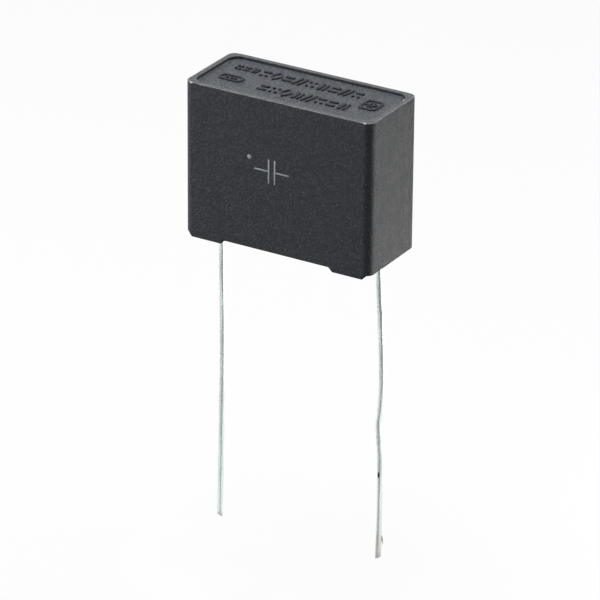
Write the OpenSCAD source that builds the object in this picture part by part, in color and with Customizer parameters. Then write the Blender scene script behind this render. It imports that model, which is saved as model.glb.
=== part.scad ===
// Box film capacitor: moulded case with four feet, potted film winding and two wire leads.
// Sizes are in millimetres. The origin is on the seating plane, midway between the leads.
// +X runs along the lead pitch, -Y is the front and +Z points away from the board.

/* [Case] */
// Distance between the axes of the two leads, which sets the length of the case
lead_pitch = 15; // [10:0.5:27.5]
// Distance from each lead's axis to the end face of the case beside it
lead_end_distance = 1.25; // [1.2:0.05:3]
// Depth of the case from front to back
case_depth = 7.4; // [6.6:0.1:9]
// Height from the seating plane to the top of the rim
case_height = 13.6; // [12.5:0.1:16]
// Radius of the four upright corners
corner_radius = 0.75; // [0.7:0.05:1.2]
// Rounding of the outer edge round the top
top_edge_radius = 0.05; // [0.05:0.05:0.3]
// Thickness of the four upright walls
wall_thickness = 0.65; // [0.5:0.05:0.8]
// Thickness of the roof between the top panel and the cavity
roof_thickness = 0.8; // [0.6:0.05:1.2]
// Radius of the upright corners inside the cavity
cavity_corner_radius = 0.4; // [0.2:0.05:0.8]

/* [Top panel] */
// Width of the raised rim round the top panel
rim_width = 0.48; // [0.35:0.01:0.8]
// Height of the rim above the panel
rim_height = 0.25; // [0.1:0.05:0.4]
// Corner radius of the panel inside the rim
panel_corner_radius = 1.0; // [0.5:0.1:1.5]

/* [Feet] */
// Height of the feet, which lifts the walls clear of the board
foot_height = 0.35; // [0.2:0.05:0.6]
// Distance from the end face of the case to a foot's flat face
foot_end_distance = 0.7; // [0.6:0.05:1.5]
// Length of a foot's flat face along the case
foot_length = 2.8; // [1.6:0.05:2.9]
// Run of the slope at each end of a foot
foot_slope_run = 0.34; // [0.1:0.02:0.4]

/* [Leads] */
// Diameter of the lead wire
lead_diameter = 0.5; // [0.4:0.05:0.8]
// Length of the leads below the seating plane
lead_length = 27.3; // [3:0.1:32]
// Height over which the wire goes from round to flat, just inside the resin
coined_length = 0.5; // [0.3:0.05:0.8]
// Thickness of the flattened part of the wire
paddle_thickness = 0.26; // [0.2:0.01:0.4]
// Width of the flattened part of the wire
paddle_width = 0.76; // [0.6:0.02:1.1]
// Height of the flattened part above the coined length
paddle_height = 5.6; // [3:0.1:7]
// Depth to which the flat part is bedded in the sprayed metal
paddle_bedding = 0.08; // [0.04:0.01:0.14]

/* [Winding] */
// Thickness of the sprayed metal on each end of the winding
spray_thickness = 0.45; // [0.3:0.05:0.7]
// Thickness of the plain film wrapped round the winding
wrap_thickness = 0.15; // [0.1:0.05:0.3]
// Height of the flattened core slit in the middle of the winding
core_slit_height = 3.6; // [2:0.1:4]
// Width of the flattened core slit
core_slit_width = 0.16; // [0.1:0.02:0.3]

/* [Resin] */
// Depth of the resin surface inside the lower edge of the walls
resin_recess = 0.08; // [0:0.01:0.6]
// Resin between the wrap and the front or back wall
resin_side_cover = 0.45; // [0.3:0.05:0.8]
// Resin between the wrap and the roof
resin_top_cover = 0.8; // [0.4:0.05:1.2]
// Resin between the open surface and the wrap
resin_bottom_cover = 1.2; // [0.8:0.05:1.6]

/* [Hidden] */
$fn = 64;
// Length by which a cutting shape passes the surface that it cuts
cut_margin = 1;

case_length = lead_pitch + 2 * lead_end_distance;
body_height = case_height - foot_height;
panel_level = case_height - rim_height;
cavity_top = panel_level - roof_thickness;
cavity_length = case_length - 2 * wall_thickness;
cavity_depth = case_depth - 2 * wall_thickness;
foot_end = case_length / 2 - foot_end_distance;
foot_start = foot_end - foot_length;

resin_surface = foot_height + resin_recess;
element_depth = cavity_depth - 2 * resin_side_cover;
element_bottom = resin_surface + resin_bottom_cover;
element_height = cavity_top - resin_top_cover - element_bottom;
element_half_length = lead_pitch / 2 - paddle_thickness / 2 + paddle_bedding;
winding_length = 2 * (element_half_length - spray_thickness);
paddle_start = resin_surface + coined_length;

// Rectangle with rounded corners, centred on the origin
module rounded_outline(length, depth, radius) {
    square([length - 2 * radius, depth], center = true);
    square([length, depth - 2 * radius], center = true);
    for (sx = [-1, 1], sy = [-1, 1])
        translate([sx * (length / 2 - radius), sy * (depth / 2 - radius)])
            circle(r = radius);
}

// Upright section of the case, rounded where the walls meet the top
module body_section(span) {
    translate([-span / 2, 0]) square([span, body_height - top_edge_radius]);
    translate([-span / 2 + top_edge_radius, 0]) square([span - 2 * top_edge_radius, body_height]);
    for (s = [-1, 1])
        translate([s * (span / 2 - top_edge_radius), body_height - top_edge_radius])
            circle(r = top_edge_radius);
}

// Upright section of one corner, turned about the corner's own axis
module corner_section() {
    square([corner_radius, body_height - top_edge_radius]);
    square([corner_radius - top_edge_radius, body_height]);
    translate([corner_radius - top_edge_radius, body_height - top_edge_radius])
        circle(r = top_edge_radius);
}

// Outer shape of the case above its feet
module case_body() {
    rotate([90, 0, 90])
        linear_extrude(case_length - 2 * corner_radius, center = true) body_section(case_depth);
    rotate([90, 0, 0])
        linear_extrude(case_depth - 2 * corner_radius, center = true) body_section(case_length);
    for (k = [0 : 3])
        translate([(k == 0 || k == 3 ? 1 : -1) * (case_length / 2 - corner_radius),
                (k < 2 ? 1 : -1) * (case_depth / 2 - corner_radius), 0])
            rotate(90 * k)
                rotate_extrude(angle = 90) corner_section();
}

// One foot under the front wall on the right, with sloping ends
module foot() {
    intersection() {
        linear_extrude(foot_height) rounded_outline(case_length, case_depth, corner_radius);
        translate([0, -case_depth / 2 + wall_thickness, 0])
            rotate([90, 0, 0])
                linear_extrude(wall_thickness)
                    polygon([[foot_start, 0], [foot_end, 0],
                        [foot_end + foot_slope_run, foot_height],
                        [foot_start - foot_slope_run, foot_height]]);
    }
}

// Flat oval section of the winding, standing upright between two levels
module oval(depth, bottom, top) {
    for (z = [bottom + depth / 2, top - depth / 2])
        translate([0, z]) circle(d = depth);
    translate([-depth / 2, bottom + depth / 2])
        square([depth, top - bottom - depth]);
}

// Oval of the wrapped winding, made smaller all round by an inset
module element_section(inset) {
    oval(element_depth - 2 * inset, element_bottom + inset,
        element_bottom + element_height - inset);
}

// Extrudes a section drawn in depth and height along the length, from one X to another
module along_length(from_x, to_x) {
    translate([from_x, 0, 0])
        rotate([90, 0, 90])
            linear_extrude(to_x - from_x) children();
}

// Wire lead, round outside the resin and flattened beside the winding
module lead_shape() {
    translate([0, 0, -lead_length]) cylinder(d = lead_diameter, h = lead_length + resin_surface);
    translate([0, 0, resin_surface]) intersection() {
        cylinder(d1 = lead_diameter, d2 = lead_diameter + paddle_width, h = coined_length);
        rotate([90, 0, 0])
            linear_extrude(2 * paddle_width, center = true)
                polygon([[-lead_diameter / 2, 0], [lead_diameter / 2, 0],
                    [paddle_thickness / 2, coined_length], [-paddle_thickness / 2, coined_length]]);
        rotate([90, 0, 90])
            linear_extrude(2 * lead_diameter, center = true)
                polygon([[-lead_diameter / 2, 0], [lead_diameter / 2, 0],
                    [paddle_width / 2, coined_length], [-paddle_width / 2, coined_length]]);
    }
    translate([-paddle_thickness / 2, -paddle_width / 2, paddle_start])
        cube([paddle_thickness, paddle_width, paddle_height]);
}

module lead_at(side) {
    translate([side * lead_pitch / 2, 0, 0]) lead_shape();
}

module end_spray(side) {
    inner = element_half_length - spray_thickness;
    difference() {
        along_length(side > 0 ? inner : -element_half_length, side > 0 ? element_half_length : -inner)
            element_section(0);
        lead_at(side);
    }
}

// Moulded case: walls, roof with a raised rim, and four feet
module case() {
    color([0.22, 0.23, 0.25]) union() {
        difference() {
            translate([0, 0, foot_height]) case_body();
            translate([0, 0, panel_level])
                linear_extrude(rim_height + cut_margin)
                    rounded_outline(case_length - 2 * rim_width, case_depth - 2 * rim_width,
                        panel_corner_radius);
            translate([0, 0, foot_height - cut_margin])
                linear_extrude(cavity_top - foot_height + cut_margin)
                    rounded_outline(cavity_length, cavity_depth, cavity_corner_radius);
        }
        for (sx = [0, 1], sy = [0, 1])
            mirror([sx, 0, 0]) mirror([0, sy, 0]) foot();
    }
}

// Resin that fills the cavity round the winding and holds the leads
module resin_fill() {
    color([0.16, 0.16, 0.17]) difference() {
        translate([0, 0, resin_surface])
            linear_extrude(cavity_top - resin_surface)
                rounded_outline(cavity_length, cavity_depth, cavity_corner_radius);
        along_length(-element_half_length, element_half_length) element_section(0);
        lead_at(-1);
        lead_at(1);
    }
}

// Roll of metallised film, pressed flat, with the closed-up core slit in the middle
module film_winding() {
    color([0.78, 0.76, 0.70])
        along_length(-winding_length / 2, winding_length / 2)
            difference() {
                element_section(wrap_thickness);
                translate([-core_slit_width / 2,
                        element_bottom + element_height / 2 - core_slit_height / 2])
                    square([core_slit_width, core_slit_height]);
            }
}

// Plain film wound round the outside of the roll
module wrap_film() {
    color([0.93, 0.92, 0.88])
        along_length(-winding_length / 2, winding_length / 2)
            difference() {
                element_section(0);
                element_section(wrap_thickness);
            }
}

// Sprayed metal on the left end, which joins the film edges to the lead
module end_spray_left() {
    color([0.62, 0.63, 0.64]) end_spray(-1);
}

// Sprayed metal on the right end
module end_spray_right() {
    color([0.62, 0.63, 0.64]) end_spray(1);
}

// Tinned wire lead on the left
module lead_left() {
    color([0.80, 0.81, 0.80]) lead_at(-1);
}

// Tinned wire lead on the right
module lead_right() {
    color([0.80, 0.81, 0.80]) lead_at(1);
}

case();
resin_fill();
film_winding();
wrap_film();
end_spray_left();
end_spray_right();
lead_left();
lead_right();
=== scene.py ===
import math

import bmesh
import bpy
from mathutils import Matrix, Vector


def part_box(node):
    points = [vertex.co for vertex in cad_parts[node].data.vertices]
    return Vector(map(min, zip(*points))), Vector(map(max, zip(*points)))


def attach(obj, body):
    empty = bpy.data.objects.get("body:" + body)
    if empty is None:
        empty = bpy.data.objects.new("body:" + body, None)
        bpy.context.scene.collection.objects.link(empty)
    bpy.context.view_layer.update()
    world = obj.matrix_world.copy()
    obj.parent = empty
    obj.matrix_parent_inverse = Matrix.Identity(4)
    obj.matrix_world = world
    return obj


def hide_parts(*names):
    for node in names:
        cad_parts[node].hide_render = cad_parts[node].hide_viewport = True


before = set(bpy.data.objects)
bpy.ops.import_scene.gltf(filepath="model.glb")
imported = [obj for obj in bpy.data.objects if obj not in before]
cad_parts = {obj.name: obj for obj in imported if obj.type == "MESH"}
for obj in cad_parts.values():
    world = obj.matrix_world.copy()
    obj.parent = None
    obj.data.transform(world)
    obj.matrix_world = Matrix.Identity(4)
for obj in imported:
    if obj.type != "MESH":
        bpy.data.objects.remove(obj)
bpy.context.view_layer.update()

# All lengths below are in millimetres until new_object() scales them.
MM = 0.001
case_high = Vector(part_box("case")[1]) / MM
lead_low, lead_high = (Vector(v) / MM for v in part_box("lead_right"))
HALF_X, HALF_Y, TOP = case_high.x, case_high.y, case_high.z
LEAD_X = (lead_low.x + lead_high.x) / 2
LEAD_TIP = lead_low.z
WIRE_R = 0.25

# The case: its walls, its corners, the raised rim round the sunk top panel, and its four feet.
WALL, ROOF = 0.65, 0.8
CORNER_R, CAVITY_R = 0.75, 0.4
TOP_EDGE_R, LOW_EDGE_R = 0.05, 0.05
RIM_WIDTH, RIM_HEIGHT, RIM_EDGE_R = 0.48, 0.25, 0.02
PANEL_R = 1.0
PANEL_Z = TOP - RIM_HEIGHT
CAVITY_TOP = PANEL_Z - ROOF
FOOT_HEIGHT, FOOT_LENGTH, FOOT_END, FOOT_RUN = 0.35, 2.8, 0.7, 0.34

# The resin: its level near the walls, how far it reaches into them, and how far its sides go up behind it.
RESIN_Z = 0.43
RESIN_OVERLAP, RESIN_DEPTH = 0.02, 1.0


# ---------------------------------------------------------------- mesh helpers
def new_object(name, bm, materials, smooth=True):
    """Turns a bmesh drawn in millimetres into an object in metres."""
    bmesh.ops.scale(bm, vec=(MM, MM, MM), verts=bm.verts)
    bmesh.ops.recalc_face_normals(bm, faces=bm.faces)
    mesh = bpy.data.meshes.new(name)
    bm.to_mesh(mesh)
    bm.free()
    for m in materials:
        mesh.materials.append(m)
    for p in mesh.polygons:
        p.use_smooth = smooth
    ob = bpy.data.objects.new(name, mesh)
    bpy.context.scene.collection.objects.link(ob)
    return ob


def bridge(bm, loops):
    """Joins closed loops of equal length with quads."""
    for a, b in zip(loops, loops[1:]):
        n = len(a)
        for i in range(n):
            bm.faces.new((a[i], a[(i + 1) % n], b[(i + 1) % n], b[i]))


def soft_step(u, width=0.06):
    """0 below u = 0 and 1 above u = 1, with a straight ramp and softly rounded ends."""

    def soft(t):
        return width * math.log1p(math.exp(t / width)) if t < 20 * width else t

    return soft(u) - soft(u - 1)


# ---------------------------------------------------------------- case outline
# Where the sloping end of a foot is sampled, as parts of its run. The ends past 0 and 1 are its soft corners.
RAMP_STEPS = (-0.3, -0.15, -0.06, 0.0, 0.06, 0.15, 0.3, 0.5, 0.7, 0.85, 0.94, 1.0, 1.06, 1.15, 1.3)
FOOT_FAR = HALF_X - FOOT_END
FOOT_NEAR = FOOT_FAR - FOOT_LENGTH
STRAIGHT_X, STRAIGHT_Y = HALF_X - CORNER_R, HALF_Y - CORNER_R


def foot_lift(x):
    """Height of the wall's lower edge above the seating plane."""
    x = abs(x)
    inner = soft_step((FOOT_NEAR - x) / FOOT_RUN)
    outer = soft_step((x - FOOT_FAR) / FOOT_RUN)
    return FOOT_HEIGHT * min(1.0, inner + outer)


def quarter():
    """Samples of one quarter of the outline: along the long side, the corner arc and the short side."""
    xs = {0.0, 1.0, 2.0, 3.0, 4.0, 6.0, 7.0, STRAIGHT_X}
    xs |= {FOOT_NEAR - FOOT_RUN * u for u in RAMP_STEPS}
    places = ((FOOT_FAR + FOOT_RUN * u - STRAIGHT_X) / CORNER_R for u in RAMP_STEPS)
    ramp = {math.asin(s) for s in places if 0 < s < 0.98}
    too_close = 0.01
    turns = (math.radians(a) for a in range(6, 90, 6))
    arc = ramp | {a for a in turns if all(abs(a - b) > too_close for b in ramp)}
    ys = {0.0, 0.8, 1.6, 2.3, STRAIGHT_Y}
    return sorted(xs), sorted(arc), sorted(ys)


QX, QARC, QY = quarter()
FIXED_X = 6.0  # samples up to here keep their x at every inset, those past it close up towards the corner


def ring(inset, radius):
    """Points of the rounded rectangle at that inset, in the same order for every inset and radius."""
    hx, hy = HALF_X - inset, HALF_Y - inset
    sx, sy = hx - radius, hy - radius
    squash = (sx - FIXED_X) / (STRAIGHT_X - FIXED_X)
    q = [(x if x <= FIXED_X else FIXED_X + (x - FIXED_X) * squash, hy) for x in QX]
    q += [(sx + radius * math.sin(a), sy + radius * math.cos(a)) for a in QARC]
    q += [(hx, y * sy / STRAIGHT_Y) for y in reversed(QY)]
    full = list(q)
    full += [(x, -y) for x, y in reversed(q[:-1])]
    full += [(-x, -y) for x, y in q[1:]]
    full += [(-x, y) for x, y in reversed(q[1:-1])]
    return full


OUTER = ring(0.0, CORNER_R)
# The lower edge follows the feet along the long sides and round the corners, and the short sides stay up.
LIFT = [foot_lift(x) if abs(y) > STRAIGHT_Y + 0.2 else FOOT_HEIGHT for x, y in OUTER]


def ring_verts(bm, inset, radius, z, follow=False):
    """One loop of the case. follow raises it with the wall's lower edge, between and beside the feet."""
    pts = ring(inset, radius)
    return [bm.verts.new((x, y, z + (LIFT[i] if follow else 0.0))) for i, (x, y) in enumerate(pts)]


def round_off(radius, steps):
    """A rounding from 0 to 90 degrees, as pairs of radius * (1 - cos) and radius * (1 - sin)."""
    turns = (math.radians(90 * k / steps) for k in range(steps + 1))
    return [(radius * (1 - math.cos(a)), radius * (1 - math.sin(a))) for a in turns]


def build_case(material):
    """The moulding as loops: down the cavity, up the outside, over the rim and onto the panel."""
    # Extra loops on the flat faces keep the shading even.
    above_feet = 0.6
    wall_levels = (0.55, 0.9, 2.0, 4.0, 6.5, 9.0, 11.0, 12.5, 13.2)
    panel_insets = (0.62, 0.8, 1.1)
    bm = bmesh.new()
    loops = [ring_verts(bm, WALL, CAVITY_R, CAVITY_TOP)]
    loops.append(ring_verts(bm, WALL, CAVITY_R, above_feet))
    for less_cos, less_sin in round_off(LOW_EDGE_R, 3):
        loops.append(ring_verts(bm, WALL - less_cos, CAVITY_R, less_sin, True))
    for less_cos, less_sin in round_off(LOW_EDGE_R, 3):
        loops.append(ring_verts(bm, less_sin, CORNER_R - less_sin, less_cos, True))
    for z in wall_levels:
        loops.append(ring_verts(bm, 0.0, CORNER_R, z))
    for less_cos, less_sin in round_off(TOP_EDGE_R, 6):
        loops.append(ring_verts(bm, less_cos, CORNER_R - less_cos, TOP - less_sin))

    def inside_rim(inset, z):
        loops.append(ring_verts(bm, inset, PANEL_R + RIM_WIDTH - inset, z))

    for less_cos, less_sin in round_off(RIM_EDGE_R, 3):
        inside_rim(RIM_WIDTH - less_sin, TOP - less_cos)
    for less_cos, less_sin in round_off(RIM_EDGE_R, 3):
        inside_rim(RIM_WIDTH + less_cos, PANEL_Z + less_sin)
    for inset in panel_insets:
        inside_rim(inset, PANEL_Z)
    bridge(bm, loops)
    bm.faces.new(loops[-1])
    bm.faces.new(list(reversed(loops[0])))
    return new_object("case_shell", bm, [material])


# ---------------------------------------------------------------- strokes
def stroke(bm, a, b, width, base, height, bevel, place):
    """A bar with rounded ends from a to b, standing on a face. place turns (u, v, h) into a point."""
    a, b = Vector(a), Vector(b)
    d = b - a
    turn = math.atan2(d.y, d.x)
    steps = 8
    loops = []
    section = ((0.0, base), (0.0, height - bevel), (bevel * 0.3, height - bevel * 0.3), (bevel, height))
    for inset, h in section:
        r = width / 2 - inset
        loop = []
        for centre, start in ((b, -90), (a, 90)):
            for k in range(steps + 1):
                t = turn + math.radians(start + 180 * k / steps)
                loop.append(bm.verts.new(place(centre.x + r * math.cos(t), centre.y + r * math.sin(t), h)))
        loops.append(loop)
    bridge(bm, loops)
    bm.faces.new(loops[-1])
    bm.faces.new(list(reversed(loops[0])))


def oval_ring(bm, centre, rx, ry, power, width, base, height, bevel, place, steps=48):
    """A raised closed line: a diamond at power 1, an oval at 2, a rounded square above it."""

    def at(grow, h):
        loop = []
        for k in range(steps):
            t = 2 * math.pi * k / steps
            c, s = math.cos(t), math.sin(t)
            u = math.copysign(abs(c) ** (2 / power), c) * (rx + grow)
            v = math.copysign(abs(s) ** (2 / power), s) * (ry + grow)
            loop.append(bm.verts.new(place(centre[0] + u, centre[1] + v, h)))
        return loop

    w, shoulder = width / 2, height - bevel
    outside = ((w, base), (w, shoulder), (w - bevel, height))
    section = outside + tuple((-grow, h) for grow, h in reversed(outside))
    loops = [at(grow, h) for grow, h in section]
    bridge(bm, loops + [loops[0]])


def on_top(u, v, h):
    """Point at (u, v) on the top panel, raised by h."""
    return (u, v, PANEL_Z + h)


def on_front(u, v, h):
    """Point at (u, v) on the front face, raised by h."""
    return (u, -HALF_Y - h, v)


def build_relief(material):
    """Raised marks on the top panel: plain shapes in rows, an oval and a rounded square."""
    bm = bmesh.new()
    base, height, bevel = -0.02, 0.13, 0.03
    dash, dot = 0.28, 0.27

    def bar(x0, y0, x1, y1, w=0.23, lift=0.0):
        stroke(bm, (x0, y0), (x1, y1), w, base, height + lift, bevel, on_top)

    def stud(x, y, w, h):
        """A solid raised block with rounded corners."""
        r = min(w, h) / 2
        if w >= h:
            bar(x - w / 2 + r, y, x + w / 2 - r + 0.01, y, h)
        else:
            bar(x, y - h / 2 + r, x, y + h / 2 - r, w)

    def token(kind, x, y, w, h):
        """One plain shape centred on (x, y), within w by h."""
        if kind == "slopes":
            for k in (-1, 1):
                bar(x + k * w * 0.27 - 0.12, y - h / 2 + 0.1, x + k * w * 0.27 + 0.12, y + h / 2 - 0.1)
        elif kind == "dashes":
            for k in (-1, 1):
                stud(x, y + k * h * 0.25, w, dash)
        elif kind == "dots":
            for k in (-1, 1):
                for j in (-1, 1):
                    stud(x + j * w * 0.3, y + k * h * 0.27, dot, dot)
        elif kind == "block":
            stud(x - w * 0.22, y, w * 0.42, h * 0.9)
            stud(x + w * 0.30, y, w * 0.25, h * 0.9)
        elif kind == "gem":
            oval_ring(bm, (x, y), w * 0.52, h * 0.52, 1.0, 0.2, base, height, bevel, on_top, 8)
        elif kind == "pips":
            stud(x, y + h * 0.27, w * 0.9, dash)
            stud(x - w * 0.28, y - h * 0.27, dot, dot)
            stud(x + w * 0.28, y - h * 0.27, dot, dot)

    def row(kinds, x, y, w, h, gap):
        """Shapes side by side, from x to the right."""
        for kind in kinds.split():
            token(kind, x + w / 2, y, w, h)
            x += w + gap

    row("dots dashes block", -7.0, 1.55, 0.58, 1.0, 0.2)
    row("pips gem dashes slopes dots block dashes slopes pips", -4.6, 1.45, 0.88, 1.4, 0.2)
    row("dashes dots gem block slopes pips dashes block", -3.25, -1.15, 0.88, 1.4, 0.19)
    oval_ring(bm, (-6.05, -0.75), 1.0, 0.45, 4.0, 0.18, base, height, bevel, on_top)
    stud(-6.45, -0.75, dash, dash)
    stud(-5.85, -0.75, 0.6, 0.2)
    thin, clear = 0.17, 0.004  # bars that meet differ a little in height, so that their tops don't coincide
    oval_ring(bm, (6.45, 0.2), 0.72, 0.85, 5.0, 0.2, base, height, bevel, on_top)
    bar(6.0, 0.2, 6.3, 0.2, thin)
    bar(6.6, 0.2, 6.9, 0.2, thin)
    bar(6.3, -0.2, 6.3, 0.6, thin, clear)
    bar(6.6, -0.2, 6.6, 0.6, thin, clear)
    return new_object("top_relief", bm, [material])


def build_mark(material):
    """Thin pale marking on the front: the plain drawing sign for a capacitor, with a dot."""
    bm = bmesh.new()
    line, dot = 0.13, 0.36
    base, height, bevel, clear = -0.004, 0.006, 0.002, 0.001
    z, half, gap = 7.45, 1.0, 0.28
    left, right = -2.0, 1.1
    mid = (left + right) / 2

    def bar(x0, z0, x1, z1, width=line, lift=0.0):
        stroke(bm, (x0, z0), (x1, z1), width, base, height + lift, bevel, on_front)

    bar(left, z, mid - gap, z)
    bar(mid + gap, z, right, z)
    bar(mid - gap, z - half, mid - gap, z + half, lift=clear)
    bar(mid + gap, z - half, mid + gap, z + half, lift=clear)
    bar(left - 0.56, z + half - 0.1, left - 0.54, z + half - 0.1, dot)
    return new_object("front_mark", bm, [material])


# ---------------------------------------------------------------- leads
LEFT_TIP = LEAD_TIP - 0.09
RIGHT_SHORTER = 0.49  # how much higher the right wire ends than the left one
NICK = (LEAD_X + 0.43, -0.30, -19.1)  # dark spot on the right wire


def spline(points, t):
    """Smooth curve through (z, x) points, read at height t."""
    pts = sorted(points)
    if t <= pts[0][0]:
        return pts[0][1]
    if t >= pts[-1][0]:
        return pts[-1][1]
    i = max(k for k in range(len(pts) - 1) if pts[k][0] <= t)
    (z0, x0), (z1, x1) = pts[i], pts[i + 1]
    before, after = pts[max(i - 1, 0)], pts[min(i + 2, len(pts) - 1)]
    m0 = (x1 - before[1]) / (z1 - before[0])
    m1 = (after[1] - x0) / (after[0] - z0)
    h = z1 - z0
    u = (t - z0) / h
    return (
        (2 * u**3 - 3 * u**2 + 1) * x0 + (u**3 - 2 * u**2 + u) * h * m0
        + (3 * u**2 - 2 * u**3) * x1 + (u**3 - u**2) * h * m1
    )


def build_lead(name, side, bends, tip_z, cut, materials, burr=None):
    """Wire from inside the resin down to its cut tip, with the slight bends of a handled lead.

    side is -1 for the left lead and 1 for the right one. bends holds (z, x) points of its centre line. cut
    gives how far the cut face falls for each millimetre along x and y. burr holds raise_burr()'s values."""
    bm = bmesh.new()
    segments, count = 32, 220
    top = RESIN_Z + RESIN_DEPTH + 0.2
    squeezed_length, narrower, wider = 0.85, 0.10, 0.08  # what the cutter's jaws leave
    bare = 0.86  # how much of the tip's width is bare metal inside the tin
    reach = math.hypot(*cut) * WIRE_R
    loops = []
    for k in range(count + 1):
        z = top - (top - tip_z) * k / count
        near_tip = max(0.0, 1 - (z - tip_z) / squeezed_length)
        squeeze = near_tip * near_tip * (3 - 2 * near_tip)
        loop = []
        for i in range(segments):
            a = 2 * math.pi * i / segments
            x = WIRE_R * math.cos(a) * (1 - narrower * squeeze)
            y = WIRE_R * math.sin(a) * (1 + wider * squeeze)
            zz = max(tip_z, z + (reach + cut[0] * x + cut[1] * y) * near_tip)
            loop.append(bm.verts.new((side * LEAD_X + spline(bends, zz) + x, y, zz)))
        loops.append(loop)
    bridge(bm, loops)
    tip = loops[-1]
    centre = sum((v.co for v in tip), Vector()) / len(tip)
    ring_in = [bm.verts.new(centre + (v.co - centre) * bare) for v in tip]
    bridge(bm, [tip, ring_in])
    cap = bm.faces.new(ring_in)
    cap.material_index = 1
    bm.faces.new(list(reversed(loops[0])))
    if burr:
        raise_burr(bm, (side * LEAD_X, spline(bends, burr[0])), *burr)
    return new_object(name, bm, materials)


def raise_burr(bm, axis, z, azimuth, length, stand, thick):
    """Thin curl of plating that stands off the wire, as a cutter leaves it.

    axis is the wire's (x, bend) there, and stand is how far its lower end stands off."""
    steps, sides = 12, 8
    half_width, thinnest = 0.07, 0.004
    out = Vector((math.sin(azimuth), -math.cos(azimuth), 0))
    across = Vector((math.cos(azimuth), math.sin(azimuth), 0))
    foot = Vector((axis[0] + axis[1], 0, z)) + out * WIRE_R
    loops = []
    for k in range(steps + 1):
        u = k / steps
        swell = math.sin(math.pi * min(max(u, 0.02), 0.98))
        centre = foot + Vector((0, 0, length * (0.5 - u))) + out * (stand * u**0.6)
        wide, deep = half_width * swell + thinnest, thick * swell + thinnest
        loop = []
        for i in range(sides):
            a = 2 * math.pi * i / sides
            loop.append(bm.verts.new(centre + out * (deep * math.cos(a)) + across * (wide * math.sin(a))))
        loops.append(loop)
    first = len(bm.faces)
    bridge(bm, loops)
    bm.faces.new(list(reversed(loops[0])))
    bm.faces.new(loops[-1])
    bm.faces.ensure_lookup_table()
    for f in bm.faces[first:]:
        f.material_index = 1


# ---------------------------------------------------------------- resin
def build_resin(material):
    """Cast resin: a slightly sunk surface that climbs the walls and the wires."""
    bm = bmesh.new()
    hx, hy, r = HALF_X - WALL + RESIN_OVERLAP, HALF_Y - WALL + RESIN_OVERLAP, CAVITY_R
    nx, ny = 170, 66
    sag, sag_from_wall = 0.10, 0.9
    wall_climb, wall_reach = 0.10, 0.12
    wire_climb, wire_reach = 0.20, 0.10

    def height(x, y):
        """Height of the surface: sunk in the middle, with a fine meniscus and slow waves."""
        wall = min(hx - abs(x), hy - abs(y))
        z = RESIN_Z + sag * (1 - math.exp(-(wall / sag_from_wall) ** 2))
        z -= wall_climb * math.exp(-wall / wall_reach)
        for s in (-1, 1):
            d = math.hypot(x - s * LEAD_X, y) - WIRE_R
            z -= wire_climb * math.exp(-max(d, 0.0) / wire_reach)
        return z + 0.012 * math.sin(1.1 * x + 0.6) * math.cos(1.7 * y + 0.3)

    grid = []
    for i in range(nx + 1):
        line = []
        for j in range(ny + 1):
            x, y = hx * (2 * i / nx - 1), hy * (2 * j / ny - 1)
            ox, oy = abs(x) - (hx - r), abs(y) - (hy - r)
            if ox > 0 and oy > 0:
                m = max(ox, oy) / math.hypot(ox, oy)
                x = math.copysign(hx - r + ox * m, x)
                y = math.copysign(hy - r + oy * m, y)
            line.append(bm.verts.new((x, y, height(x, y))))
        grid.append(line)
    for i in range(nx):
        for j in range(ny):
            bm.faces.new((grid[i][j], grid[i + 1][j], grid[i + 1][j + 1], grid[i][j + 1]))
    edge = [grid[i][0] for i in range(nx)] + [grid[nx][j] for j in range(ny)]
    edge += [grid[i][ny] for i in range(nx, 0, -1)] + [grid[0][j] for j in range(ny, 0, -1)]
    upper = [bm.verts.new((v.co.x, v.co.y, RESIN_Z + RESIN_DEPTH)) for v in edge]
    bridge(bm, [edge, upper])
    bm.faces.new(upper)
    return new_object("resin_surface", bm, [material])


# ---------------------------------------------------------------- materials
def nodes_of(name):
    """A new material with its node tree and its Principled node."""
    m = bpy.data.materials.new(name)
    m.use_nodes = True
    nt = m.node_tree
    return m, nt, nt.nodes["Principled BSDF"]


def node(nt, kind, **values):
    """A new node. Values named in_... go to its inputs, the rest to the node itself."""
    n = nt.nodes.new(kind)
    for k, v in values.items():
        if k.startswith("in_"):
            n.inputs[k[3:].replace("_", " ")].default_value = v
        else:
            setattr(n, k, v)
    return n


def texture_space(nt, scale):
    """Object coordinates in millimetres, times scale."""
    tc = node(nt, "ShaderNodeTexCoord")
    mp = node(nt, "ShaderNodeMapping")
    mp.inputs["Scale"].default_value = [1000 * s for s in scale]
    nt.links.new(tc.outputs["Object"], mp.inputs["Vector"])
    return mp.outputs["Vector"]


def noise(nt, vector, scale, detail, rough):
    n = node(nt, "ShaderNodeTexNoise", in_Scale=scale, in_Detail=detail, in_Roughness=rough)
    nt.links.new(vector, n.inputs["Vector"])
    return n.outputs["Fac"]


def span(nt, value, lo, hi, to_lo, to_hi):
    """Maps value from the range lo to hi onto the range to_lo to to_hi, and clamps it."""
    n = node(nt, "ShaderNodeMapRange")
    nt.links.new(value, n.inputs["Value"])
    for key, v in zip(("From Min", "From Max", "To Min", "To Max"), (lo, hi, to_lo, to_hi)):
        n.inputs[key].default_value = v
    return n.outputs["Result"]


def mix(nt, fac, a, b):
    """Colour between a and b. Each argument is a socket or a plain value."""
    n = node(nt, "ShaderNodeMix", data_type="RGBA", blend_type="MIX")
    for socket, v in ((n.inputs[0], fac), (n.inputs[6], a), (n.inputs[7], b)):
        if isinstance(v, bpy.types.NodeSocket):
            nt.links.new(v, socket)
        elif socket is n.inputs[0]:
            socket.default_value = v
        else:
            socket.default_value = (*v, 1.0)
    return n.outputs[2]


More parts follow.
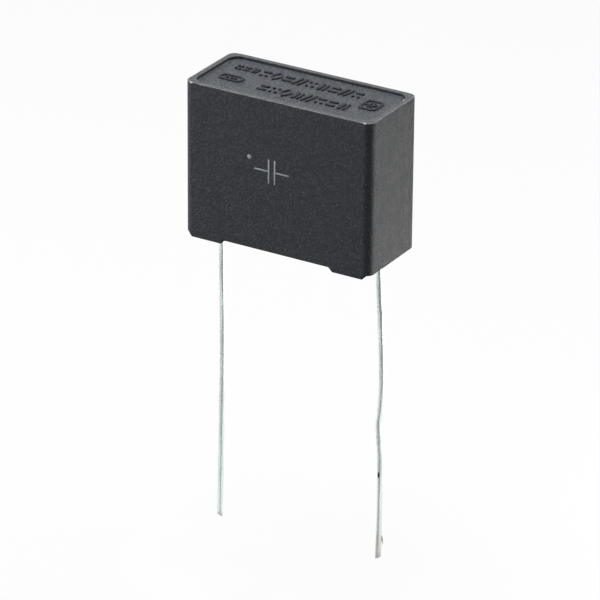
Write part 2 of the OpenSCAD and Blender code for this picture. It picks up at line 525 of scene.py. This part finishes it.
def calc(nt, a, b, op="ADD"):
    """One step of arithmetic on sockets or numbers."""
    n = node(nt, "ShaderNodeMath", operation=op)
    for socket, v in ((n.inputs[0], a), (n.inputs[1], b)):
        if isinstance(v, bpy.types.NodeSocket):
            nt.links.new(v, socket)
        else:
            socket.default_value = v
    return n.outputs[0]


def times(nt, first, *others):
    """Product of sockets and numbers."""
    for other in others:
        first = calc(nt, first, other, "MULTIPLY")
    return first


def axes(nt, vector):
    """The X, Y and Z outputs of a vector."""
    n = node(nt, "ShaderNodeSeparateXYZ")
    nt.links.new(vector, n.inputs[0])
    return n.outputs


def absolute(nt, value):
    return calc(nt, value, 0.0, "ABSOLUTE")


def shade(colour, factor):
    return [c * factor for c in colour]


def bump(nt, height, strength, distance):
    b = node(nt, "ShaderNodeBump")
    b.inputs["Strength"].default_value = strength
    b.inputs["Distance"].default_value = distance
    nt.links.new(height, b.inputs["Height"])
    return b.outputs["Normal"]


def inset_from_side(nt, place):
    """Distance in from the outline of the case in millimetres, true up to the corner radius."""
    squares = []
    for axis, half in (("X", HALF_X), ("Y", HALF_Y)):
        past = calc(nt, absolute(nt, place[axis]), half - CORNER_R, "SUBTRACT")
        past = calc(nt, past, 0.0, "MAXIMUM")
        squares.append(times(nt, past, past))
    return calc(nt, CORNER_R, calc(nt, calc(nt, *squares), 0.5, "POWER"), "SUBTRACT")


def spot_mask(nt, place, centre, stretch, reach, wobble, mirrored=True):
    """1 on a small spot round centre, with a wobbly outline: the case's painted glints and the wire's dark
    nick. mirrored repeats it at all four corners.
    """
    squares = []
    for axis, at, scale in zip("XYZ", centre, stretch):
        off = absolute(nt, place[axis]) if mirrored else place[axis]
        off = times(nt, calc(nt, off, at, "SUBTRACT"), scale)
        squares.append(times(nt, off, off))
    away = calc(nt, calc(nt, calc(nt, squares[0], squares[1]), squares[2]), 0.5, "POWER")
    away = calc(nt, away, times(nt, wobble, 0.12))
    return span(nt, away, reach, reach + 0.05, 1.0, 0.0)


def moulded_plastic(name, base=(0.0325, 0.0362, 0.0430), rough=(0.42, 0.62), gloss=0.16, wear_and_painted_light=True):
    """Dark filled plastic: a finely eroded skin, sparse dust, a mottled top and paler grit on the ends.

    worn adds wear and painted light: painted shade on the inner walls of the rim, wear with a painted
    highlight along the rim and its outer edge, and painted glints at the corners and on the rim."""
    m, nt, bsdf = nodes_of(name)
    grey = sum(base) / 3
    mean_grey = (grey * 0.95, grey, grey * 1.05)
    v = texture_space(nt, (1, 1, 1))
    fine = noise(nt, v, 6.4, 2.0, 0.6)
    coarse = noise(nt, v, 0.9, 3.0, 0.55)
    streak = noise(nt, texture_space(nt, (1, 3.4, 0.55)), 1.0, 4.0, 0.65)
    speck = noise(nt, v, 4.2, 1.0, 0.5)
    mottle = noise(nt, v, 5.6, 2.0, 0.65)
    grit = noise(nt, v, 4.6, 3.0, 0.7)
    facing = axes(nt, node(nt, "ShaderNodeNewGeometry").outputs["Normal"])
    place = axes(nt, v)
    ends = span(nt, absolute(nt, facing["X"]), 0.75, 0.98, 0.0, 1.0)
    flat_top = span(nt, facing["Z"], 0.75, 0.98, 0.0, 1.0)

    # the skin all over
    tone = mix(nt, span(nt, coarse, 0.3, 0.7, 0.0, 1.0), shade(base, 0.92), shade(base, 1.12))
    tone = mix(nt, span(nt, fine, 0.34, 0.66, 0.6, 0.0), tone, shade(base, 0.45))
    tone = mix(nt, span(nt, fine, 0.50, 0.72, 0.0, 1.0), tone, shade(base, 1.62))
    # the top panel
    tone = mix(nt, times(nt, flat_top, span(nt, mottle, 0.36, 0.48, 0.7, 0.0)), tone, shade(mean_grey, 0.5))
    tone = mix(nt, times(nt, flat_top, span(nt, mottle, 0.52, 0.64, 0.0, 0.8)), tone, shade(mean_grey, 1.9))
    # the ends
    pale_grit = span(nt, calc(nt, times(nt, streak, 0.6), grit), 0.64, 0.94, 0.0, 1.0)
    tone = mix(nt, times(nt, ends, pale_grit), tone, (grey * 2.0, grey * 2.04, grey * 2.12))
    # dust
    tone = mix(nt, span(nt, speck, 0.755, 0.79, 0.0, 0.6), tone, (0.16, 0.165, 0.17))
    if wear_and_painted_light:
        inset = inset_from_side(nt, place)
        height = place["Z"]
        patchy = noise(nt, v, 1.6, 3.0, 0.6)
        # Painted shade: the inner walls of the rim, above the panel, are darkened where shade falls.
        upright = span(nt, absolute(nt, facing["Z"]), 0.3, 0.8, 1.0, 0.0)
        above = span(nt, height, PANEL_Z - 0.06, PANEL_Z - 0.01, 0.0, 1.0)
        painted_crevice_shade = times(nt, upright, above, span(nt, inset, 0.3, 0.4, 0.0, 0.85))
        # The rim's top is lighter, partly wear and partly a painted highlight; its outer edge is lighter
        # still, as a painted highlight line with wear.
        rim = times(
            nt,
            span(nt, height, TOP - 0.12, TOP - 0.02, 0.0, 1.0),
            span(nt, fine, 0.35, 0.65, 0.2, 1.0),
            span(nt, patchy, 0.35, 0.65, 0.5, 1.0),
        )
        edge = times(
            nt,
            span(nt, height, TOP - 0.06, TOP - 0.02, 0.0, 1.0),
            span(nt, inset, 0.07, 0.14, 1.0, 0.0),
            span(nt, patchy, 0.38, 0.62, 0.25, 1.0),
        )
        # painted shade on the inner walls of the rim
        tone = mix(nt, painted_crevice_shade, tone, shade(base, 0.25))
        # wear and painted highlight on the rim's top and, stronger, on its outer edge
        tone = mix(nt, rim, tone, shade(mean_grey, 1.75))
        tone = mix(nt, edge, tone, shade(mean_grey, 3.1))
        # Painted glints: small pale spots on the top edge near all four corners, where a lamp would catch the
        # rounding.
        glint_at_corner = (HALF_X - 0.67, HALF_Y - 0.03, TOP - 0.02)
        corner = spot_mask(nt, place, glint_at_corner, (0.7, 1, 1), 0.12, fine)
        tone = mix(nt, corner, tone, (0.32, 0.32, 0.32))
        # Painted glint: one pale spot on the right end of the rim, near its back inner corner.
        on_rim = (HALF_X - 0.42, 2.05, TOP - 0.01)
        painted_rim_glint = spot_mask(nt, place, on_rim, (1, 0.7, 1), 0.14, fine, mirrored=False)
        tone = mix(nt, painted_rim_glint, tone, (0.17, 0.17, 0.17))
    nt.links.new(tone, bsdf.inputs["Base Color"])
    nt.links.new(span(nt, times(nt, fine, coarse), 0.1, 0.45, *rough), bsdf.inputs["Roughness"])
    grain = calc(nt, fine, noise(nt, v, 11.0, 2.0, 0.6))
    grain = calc(nt, grain, times(nt, calc(nt, streak, grit), ends))
    grain = calc(nt, grain, times(nt, mottle, flat_top, 2.2))
    nt.links.new(bump(nt, grain, 0.8, 0.00006), bsdf.inputs["Normal"])
    bsdf.inputs["Specular IOR Level"].default_value = gloss
    return m


def tinned_wire(name, base=(0.80, 0.89, 0.868)):
    """Bright tin with fine marks along it and dull patches, and duller tips.

    The right wire also has a dark nick, and is less green below it and dulled by handling near its tip."""
    m, nt, bsdf = nodes_of(name)
    bsdf.inputs["Metallic"].default_value = 1.0
    along = noise(nt, texture_space(nt, (9, 9, 0.35)), 1.0, 3.0, 0.6)
    patch = noise(nt, texture_space(nt, (1.6, 1.6, 0.5)), 1.0, 3.0, 0.55)
    place = axes(nt, texture_space(nt, (1, 1, 1)))
    right_side = span(nt, place["X"], -1.0, 1.0, 0.0, 1.0)
    below_nick = span(nt, place["Z"], NICK[2] - 0.5, NICK[2], 0.7, 0.0)
    from_left_tip = calc(nt, place["Z"], times(nt, right_side, -RIGHT_SHORTER))
    handled = span(nt, from_left_tip, LEAD_TIP, LEAD_TIP + 3.5, 0.75, 0.0)
    tip = span(nt, from_left_tip, LEAD_TIP + 0.05, LEAD_TIP + 0.6, 0.85, 0.0)
    nick = spot_mask(nt, place, NICK, (1, 1, 0.36), 0.155, patch, mirrored=False)
    tone = mix(nt, span(nt, along, 0.3, 0.7, 0.0, 1.0), shade(base, 0.74), shade(base, 1.2))
    tone = mix(nt, span(nt, patch, 0.35, 0.75, 0.0, 0.5), tone, shade(base, 0.8))
    stained = (base[0] * 0.99, base[1] * 0.93, base[2] * 0.92)
    tone = mix(nt, times(nt, below_nick, right_side), tone, stained)
    tone = mix(nt, times(nt, handled, right_side), tone, (0.58, 0.56, 0.535))
    tone = mix(nt, tip, tone, (0.42, 0.375, 0.365))
    tone = mix(nt, nick, tone, (0.02, 0.02, 0.02))
    nt.links.new(tone, bsdf.inputs["Base Color"])
    nt.links.new(span(nt, patch, 0.3, 0.7, 0.17, 0.36), bsdf.inputs["Roughness"])
    nt.links.new(bump(nt, along, 0.3, 0.00003), bsdf.inputs["Normal"])
    return m


def sheared_metal(name):
    """Torn copper-grey face where the wire was cut."""
    m, nt, bsdf = nodes_of(name)
    bsdf.inputs["Metallic"].default_value = 1.0
    g = noise(nt, texture_space(nt, (12, 3, 3)), 1.0, 3.0, 0.65)
    nt.links.new(mix(nt, g, (0.10, 0.09, 0.09), (0.32, 0.29, 0.27)), bsdf.inputs["Base Color"])
    bsdf.inputs["Roughness"].default_value = 0.5
    nt.links.new(bump(nt, g, 0.6, 0.00004), bsdf.inputs["Normal"])
    return m


def cast_resin(name):
    """Dark filled epoxy with a soft gloss, faint flow marks and a few pin holes."""
    m, nt, bsdf = nodes_of(name)
    v = texture_space(nt, (1, 1, 1))
    flow = noise(nt, v, 0.6, 4.0, 0.55)
    dust = noise(nt, v, 4.0, 2.0, 0.5)
    pits = node(nt, "ShaderNodeTexVoronoi", in_Scale=0.9)
    nt.links.new(v, pits.inputs["Vector"])
    hole = span(nt, pits.outputs["Distance"], 0.06, 0.11, 1.0, 0.0)
    tone = mix(nt, span(nt, flow, 0.3, 0.7, 0.0, 1.0), (0.020, 0.021, 0.024), (0.036, 0.037, 0.041))
    tone = mix(nt, hole, tone, (0.008, 0.008, 0.009))
    nt.links.new(tone, bsdf.inputs["Base Color"])
    nt.links.new(span(nt, dust, 0.3, 0.7, 0.22, 0.36), bsdf.inputs["Roughness"])
    height = calc(nt, times(nt, flow, 0.6), times(nt, hole, -0.8))
    nt.links.new(bump(nt, height, 0.5, 0.00006), bsdf.inputs["Normal"])
    return m


def marking_ink(name):
    """Pale laser marking, slightly uneven where the beam passed."""
    m, nt, bsdf = nodes_of(name)
    g = noise(nt, texture_space(nt, (1, 1, 1)), 6.0, 3.0, 0.6)
    tone = mix(nt, span(nt, g, 0.3, 0.7, 0.0, 1.0), (0.20, 0.22, 0.235), (0.34, 0.36, 0.38))
    nt.links.new(tone, bsdf.inputs["Base Color"])
    bsdf.inputs["Roughness"].default_value = 0.7
    nt.links.new(bump(nt, g, 0.3, 0.00001), bsdf.inputs["Normal"])
    return m


def layered(name, a, b, rough, stretch, metallic=0.0):
    """Film on its edge or face, or sprayed metal, between two colours."""
    m, nt, bsdf = nodes_of(name)
    g = noise(nt, texture_space(nt, stretch), 1.0, 3.0, 0.6)
    nt.links.new(mix(nt, g, a, b), bsdf.inputs["Base Color"])
    bsdf.inputs["Roughness"].default_value = rough
    bsdf.inputs["Metallic"].default_value = metallic
    nt.links.new(bump(nt, g, 0.3, 0.00003), bsdf.inputs["Normal"])
    return m


def set_material(ob, material):
    """Gives a whole CAD node one material."""
    ob.data.materials.clear()
    ob.data.materials.append(material)
    for p in ob.data.polygons:
        p.material_index = 0


# ---------------------------------------------------------------- pieces
case_mat = moulded_plastic("moulded_case")
# The raised marks use a darker copy of the case plastic: painted shade for their dark look.
relief_painted_dark_mat = moulded_plastic("moulded_relief_painted_dark", (0.0155, 0.0175, 0.0250), gloss=0.10, wear_and_painted_light=False)
wire_mat = tinned_wire("tinned_wire")
cut_mat = sheared_metal("sheared_metal")
resin_mat = cast_resin("cast_resin")
ink_mat = marking_ink("marking_ink")

case = build_case(case_mat)
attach(case, "root")
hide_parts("case")

relief = build_relief(relief_painted_dark_mat)
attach(relief, "root")

mark = build_mark(ink_mat)
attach(mark, "root")

resin = build_resin(resin_mat)
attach(resin, "root")
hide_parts("resin_fill")

left = build_lead(
    "lead_wire_left", -1,
    [(-27.3, -0.14), (-19.0, 0.035), (-11.0, 0.13), (-3.0, 0.06), (0.0, 0.0), (2.0, 0.0)],
    LEFT_TIP, (-0.25, -0.9), [wire_mat, cut_mat],
)
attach(left, "root")
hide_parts("lead_left")

right = build_lead(
    "lead_wire_right", 1,
    [
        (-26.9, 0.36), (-22.5, 0.42), (-17.5, 0.38), (-14.6, 0.21), (-13.2, 0.34),
        (-10.6, 0.45), (-6.0, 0.27), (-1.2, 0.0), (2.0, 0.0),
    ],
    LEFT_TIP + RIGHT_SHORTER, (0.35, 0.15), [wire_mat, cut_mat],
    (-25.2, math.radians(115), 0.9, 0.10, 0.035),
)
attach(right, "root")
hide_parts("lead_right")

winding_mat = layered("metallised_film", (0.55, 0.52, 0.45), (0.72, 0.70, 0.64), 0.3, (0.3, 14, 14))
wrap_mat = layered("clear_wrap", (0.80, 0.78, 0.72), (0.90, 0.89, 0.84), 0.25, (0.5, 4, 4))
spray_mat = layered("sprayed_zinc", (0.36, 0.37, 0.38), (0.58, 0.59, 0.60), 0.6, (9, 9, 9), metallic=1.0)
set_material(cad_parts["film_winding"], winding_mat)
set_material(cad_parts["wrap_film"], wrap_mat)
set_material(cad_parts["end_spray_left"], spray_mat)
set_material(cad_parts["end_spray_right"], spray_mat)

for ob in (case, relief):
    even = ob.modifiers.new("even_shading", "WEIGHTED_NORMAL")
    even.weight = 60

# ---------------------------------------------------------------- floor
FLOOR_GAP, FLOOR_RADIUS = 4.0, 900
FLOOR_Z = LEAD_TIP - FLOOR_GAP


def seen_directly(nt):
    """1 for rays that show a surface to the camera, in a reflection or through something clear."""
    path = node(nt, "ShaderNodeLightPath")
    seen = calc(nt, path.outputs["Is Camera Ray"], path.outputs["Is Glossy Ray"], "MAXIMUM")
    return calc(nt, seen, path.outputs["Is Transmission Ray"], "MAXIMUM")


def floor_material():
    """Near white where it is seen, darker where it only lights the object. It keeps the object's shadow."""
    m, nt, bsdf = nodes_of("pale_floor")
    out = nt.nodes["Material Output"]
    bsdf.inputs["Roughness"].default_value = 0.9
    bsdf.inputs["Specular IOR Level"].default_value = 0.0
    glow = node(nt, "ShaderNodeEmission")
    glow.inputs["Color"].default_value = (1, 1, 1, 1)
    glow.inputs["Strength"].default_value = 0.95
    seen = seen_directly(nt)
    nt.links.new(span(nt, seen, 0.0, 1.0, 0.22, 0.9), bsdf.inputs["Base Color"])
    both = node(nt, "ShaderNodeMixShader")
    nt.links.new(times(nt, seen, 0.96), both.inputs[0])
    nt.links.new(bsdf.outputs[0], both.inputs[1])
    nt.links.new(glow.outputs[0], both.inputs[2])
    nt.links.new(both.outputs[0], out.inputs["Surface"])
    return m


bm = bmesh.new()
bmesh.ops.create_circle(bm, cap_ends=True, radius=FLOOR_RADIUS, segments=96)
bmesh.ops.translate(bm, verts=bm.verts, vec=(0, 0, FLOOR_Z))
floor = new_object("floor", bm, [floor_material()], smooth=False)

# ---------------------------------------------------------------- light
world = bpy.data.worlds.new("studio")
bpy.context.scene.world = world
world.use_nodes = True
nt = world.node_tree
background = nt.nodes["Background"]
background.inputs["Color"].default_value = (1, 1, 1, 1)
# White where it is seen, and dim where it only lights the object.
nt.links.new(span(nt, seen_directly(nt), 0.0, 1.0, 0.12, 1.0), background.inputs["Strength"])
WHITE, WARM = (1.0, 1.0, 1.0), (1.0, 0.985, 0.955)


def direction(azimuth, elevation):
    """Unit vector towards an azimuth, counted from the front to the right, and an elevation."""
    return Vector((
        math.sin(azimuth) * math.cos(elevation),
        -math.cos(azimuth) * math.cos(elevation),
        math.sin(elevation),
    ))


def softbox(name, azimuth, elevation, distance, size, level, colour=WHITE):
    """Square area lamp aimed at the middle of the case. level is the light it gives a face turned to it."""
    data = bpy.data.lights.new(name, "AREA")
    data.shape = "SQUARE"
    data.size = size * MM
    data.color = colour
    data.energy = level * math.pi * (distance * MM) ** 2 * math.pi
    towards = direction(math.radians(azimuth), math.radians(elevation))
    ob = bpy.data.objects.new(name, data)
    ob.location = (towards * distance + Vector((0, 0, TOP / 2))) * MM
    ob.rotation_euler = towards.to_track_quat("Z", "Y").to_euler()
    ob.visible_camera = False
    bpy.context.scene.collection.objects.link(ob)


softbox("key_right_back", 140, 35, 220, 110, 0.72, WARM)
softbox("low_right", 134, -30, 60, 20, 0.37, WARM)
softbox("fill_left", -70, 30, 220, 110, 1.3)
softbox("overhead", 0, 82, 220, 120, 1.6)


def sector(bm, x, y, near, far, turns_near, turns_far, lift):
    """Flat piece of card round (x, y), from one azimuth to another at its near and at its far edge."""
    steps = 16
    rows = []
    for reach, (start, end) in ((near, turns_near), (far, turns_far)):
        turns = (math.radians(start + (end - start) * k / steps) for k in range(steps + 1))
        points = ((x + reach * math.sin(a), y - reach * math.cos(a), FLOOR_Z + lift) for a in turns)
        rows.append([bm.verts.new(p) for p in points])
    for k in range(steps):
        bm.faces.new((rows[0][k], rows[0][k + 1], rows[1][k + 1], rows[1][k]))


def lay_cards(name, sectors, grey):
    """Cards of one grey just above the floor, as a photographer sets them to shape reflections.

    The camera doesn't see them, and they throw no shadow."""
    bm = bmesh.new()
    for values in sectors:
        sector(bm, *values)
    m, _, bsdf = nodes_of(name)
    bsdf.inputs["Base Color"].default_value = (grey, grey, grey, 1)
    bsdf.inputs["Roughness"].default_value = 0.95
    ob = new_object(name, bm, [m], smooth=False)
    ob.visible_camera = False
    ob.visible_shadow = False


# The first dark card darkens the near corner, and the others tone what the wires mirror.
lay_cards("dark_card", [
    (8, -3, 66, 300, (-18, 116), (-18, 116), 0.3),
    (-LEAD_X, 0, 26, 76, (40, 50), (42, 66), 0.5),
    (LEAD_X, 0, 26, 72, (-52, -46), (-60, -50), 0.5),
], 0.03)
lay_cards("grey_card_left", [(-LEAD_X, 0, 9, 70, (-100, 44), (-60, 40), 0.4)], 0.4)
lay_cards("grey_card_right", [(LEAD_X, 0, 9, 52, (-100, 50), (-30, 12), 0.4)], 0.18)

# ---------------------------------------------------------------- camera
# Fitted to the photo. It aims SHIFT_X left of and SHIFT_Y below the middle of the case's lower edge.
AZ, EL, ROLL = math.radians(30.75), math.radians(24.97), math.radians(0.479)
DISTANCE, SHIFT_X, SHIFT_Y = 379.1, -0.048, 5.035
SENSOR, LENS = 36, 279.2
back = direction(AZ, EL)
side = (-back).cross(Vector((0, 0, 1))).normalized()
up = side.cross(-back)
right_dir = side * math.cos(ROLL) + up * math.sin(ROLL)
up_dir = -side * math.sin(ROLL) + up * math.cos(ROLL)
stand = back * DISTANCE - right_dir * SHIFT_X - up_dir * SHIFT_Y + Vector((0, 0, FOOT_HEIGHT))
cam_data = bpy.data.cameras.new("camera")
cam_data.sensor_width = SENSOR
cam_data.lens = LENS
cam_data.clip_start, cam_data.clip_end = 0.01, 10
camera = bpy.data.objects.new("camera", cam_data)
turned = Matrix((right_dir, up_dir, back)).transposed().to_4x4()
camera.matrix_world = Matrix.Translation(stand * MM) @ turned
bpy.context.scene.collection.objects.link(camera)
bpy.context.scene.camera = camera
bpy.context.scene.view_settings.view_transform = "Standard"
